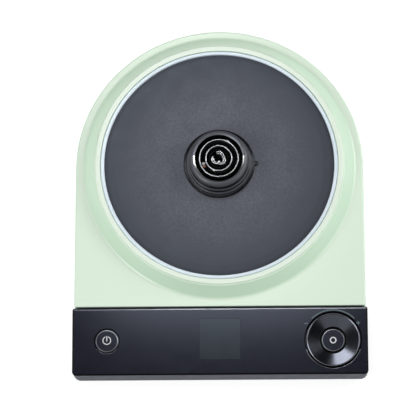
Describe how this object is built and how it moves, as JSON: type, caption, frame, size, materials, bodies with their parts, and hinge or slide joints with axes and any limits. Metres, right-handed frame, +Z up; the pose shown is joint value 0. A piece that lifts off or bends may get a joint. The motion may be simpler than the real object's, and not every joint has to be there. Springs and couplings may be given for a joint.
{
  "type": "kettle power base",
  "caption": "D-shaped power base for a cordless kettle: round seat with a raised all-round connector, sloping front panel with power button, display window and dial.",
  "frame": {"origin": "middle of the footprint on the table, on the plane that the feet stand on", "axes": "+Z up out of the kettle seat, +Y to the round back where the cord leaves, -Y to the control panel, +X to the right as a user faces the panel"},
  "size_m": [0.2032, 0.248, 0.0465],
  "materials": {
    "body_plastic": "smooth moulded plastic in pale mint green, soft satin gloss",
    "cover_plastic": "fine-grained dark grey moulded plastic",
    "panel_gloss": "deep glossy blue-black plastic",
    "seat_coating": "fine pebbled charcoal grey, matt",
    "trim_metal": "bright pale satin metal",
    "connector_plastic": "black heat-proof moulding, semi-gloss",
    "contact_metal": "nickel-plated strip",
    "signal_copper": "plated copper leaf",
    "steel": "zinc-plated steel",
    "rubber": "soft dark rubber, matt",
    "window_smoke": "smoked translucent acrylic, glossy",
    "button_gloss": "glossy black with a pale printed symbol",
    "dial_gloss": "glossy black, spun-looking dish with a bright rim",
    "board_laminate": "green solder-masked laminate",
    "blue_component": "blue moulded electronic parts",
    "yellow_component": "yellow taped and moulded electronic parts",
    "black_component": "black moulded electronic parts",
    "white_component": "natural white moulded parts",
    "brown_lead": "brown insulation",
    "blue_lead": "blue insulation",
    "earth_lead": "green and yellow insulation"
  },
  "bodies": {
    "base": {"top_housing": "body_plastic", "bottom_cover": "cover_plastic", "panel_housing": "panel_gloss", "seat_plate": "seat_coating", "trim_ring": "trim_metal", "connector_housing": "connector_plastic", "outer_contact_ring": "contact_metal", "inner_contact_ring": "contact_metal", "centre_contact": "contact_metal", "signal_contact": "signal_copper", "connector_seal": "rubber", "connector_clip": "steel", "live_terminal": "steel", "neutral_terminal": "steel", "earth_terminal": "steel", "live_wire": "brown_lead", "neutral_wire": "blue_lead", "earth_wire": "earth_lead", "display_window": "window_smoke", "display_module": "black_component", "display_holder": "white_component", "power_switch": "black_component", "encoder_base": "black_component", "button_guide": "white_component", "select_switch": "black_component", "control_board": "board_laminate", "buzzer": "black_component", "board_screw_1": "steel", "board_screw_2": "steel", "board_screw_3": "steel", "board_screw_4": "steel", "main_board": "board_laminate", "relay": "blue_component", "transformer": "yellow_component", "suppression_capacitor": "yellow_component", "electrolytic_capacitor": "black_component", "varistor": "blue_component", "fuse": "white_component", "terminal_block": "white_component", "ribbon_cable": "white_component", "cord_gland": "rubber", "foot_front_left": "rubber", "foot_front_right": "rubber", "foot_rear_left": "rubber", "foot_rear_right": "rubber", "screw_rear_left": "steel", "screw_rear_right": "steel", "screw_side_left": "steel", "screw_side_right": "steel", "screw_front_left": "steel", "screw_front_right": "steel"},
    "power_button": {"power_button": "button_gloss", "power_switch_plunger": "white_component"},
    "dial": {"dial_knob": "dial_gloss", "dial_rotor": "white_component"},
    "select_button": {"select_button": "button_gloss", "select_switch_plunger": "white_component"}
  },
  "joints": [
    {"name": "power_press", "type": "slide", "parent": "base", "child": "power_button", "axis": [0, 0.0698, -0.9976], "range_m": [0, 0.0005], "stiffness_N_per_m": 300, "springref_m": -0.002},
    {"name": "dial_turn", "type": "hinge", "parent": "base", "child": "dial", "pos_m": [0.0777, -0.1004, 0.02277], "axis": [0, -0.0698, 0.9976], "continuous": true},
    {"name": "select_press", "type": "slide", "parent": "base", "child": "select_button", "axis": [0, 0.0698, -0.9976], "range_m": [0, 0.0005], "stiffness_N_per_m": 300, "springref_m": -0.002}
  ]
}
